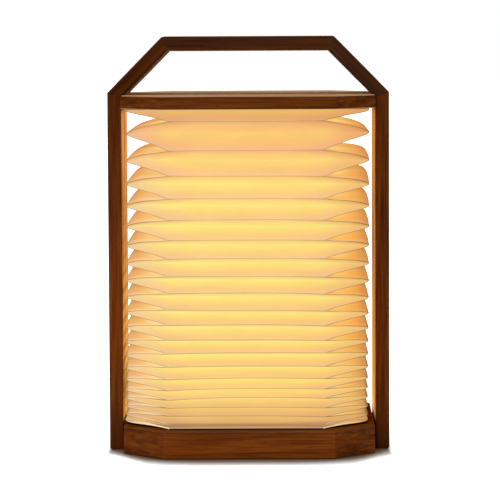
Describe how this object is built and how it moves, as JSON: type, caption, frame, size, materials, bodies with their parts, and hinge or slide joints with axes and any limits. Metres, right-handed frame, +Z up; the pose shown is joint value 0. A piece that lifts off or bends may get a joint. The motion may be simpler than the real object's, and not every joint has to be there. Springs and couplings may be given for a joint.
{
  "type": "table lamp",
  "caption": "Portable table lamp: mitred dark wood frame with handle bar, pleated paper shade, sliding top board that folds the shade, and a hollow base with battery, socket and push button.",
  "frame": {"origin": "centre of the footprint on the surface that the lamp stands on", "axes": "+Z up, -Y towards the front, +Y towards the rear panel with the button and charging socket, +X to the right seen from the front"},
  "size_m": [0.2, 0.178, 0.2945],
  "materials": {
    "walnut": "satin oiled dark walnut",
    "dowel_wood": "plain beech dowel",
    "paper": "uncoated cream paper, lit from inside",
    "card": "matt cream card",
    "opal": "satin opal diffuser",
    "black_plastic": "fine matt texture",
    "button_plastic": "smooth",
    "rubber": "matt",
    "brass": "turned brass",
    "steel": "zinc plated",
    "magnet": "nickel plated magnet",
    "aluminium": "plain sheet",
    "circuit": "solder mask",
    "led": "phosphor coated",
    "battery_wrap": "pouch foil",
    "foam": "adhesive foam",
    "wire": "insulated wire"
  },
  "bodies": {
    "stand": {"base_block": "walnut", "battery_lead": "wire", "battery_pack": "battery_wrap", "battery_tape": "foam", "board_components": "black_plastic", "bottom_cover": "black_plastic", "charging_socket": "steel", "control_board": "circuit", "control_board_screws": "steel", "control_board_standoffs": "brass", "cover_screws": "steel", "foot_pads": "rubber", "frame_dowels": "dowel_wood", "frame_screws": "steel", "frame_spacers": "black_plastic", "handle_bar": "walnut", "heat_plate": "aluminium", "led_board": "circuit", "led_chips": "led", "left_brace": "walnut", "left_upright": "walnut", "light_diffuser": "opal", "light_lead": "wire", "light_screws": "steel", "lower_card_frame": "card", "lower_card_screws": "steel", "rear_panel": "black_plastic", "right_brace": "walnut", "right_upright": "walnut", "shade_bellows": "paper", "socket_tongue": "black_plastic", "strike_discs": "steel", "switch_dome": "steel", "switch_housing": "black_plastic"},
    "top_board": {"top_board": "walnut", "guide_pins": "brass", "board_magnets": "magnet", "upper_card_frame": "card", "upper_card_screws": "steel"},
    "button": {"power_button": "button_plastic", "switch_plunger": "button_plastic"}
  },
  "joints": [
    {"name": "board_slide", "type": "slide", "parent": "stand", "child": "top_board", "axis": [0, 0, -1], "range_m": [0, 0.196], "deforming": ["shade_bellows"]},
    {"name": "button_press", "type": "slide", "parent": "stand", "child": "button", "axis": [0, -1, 0], "range_m": [0, 0.001], "stiffness_N_per_m": 1200, "springref_m": -0.001}
  ]
}
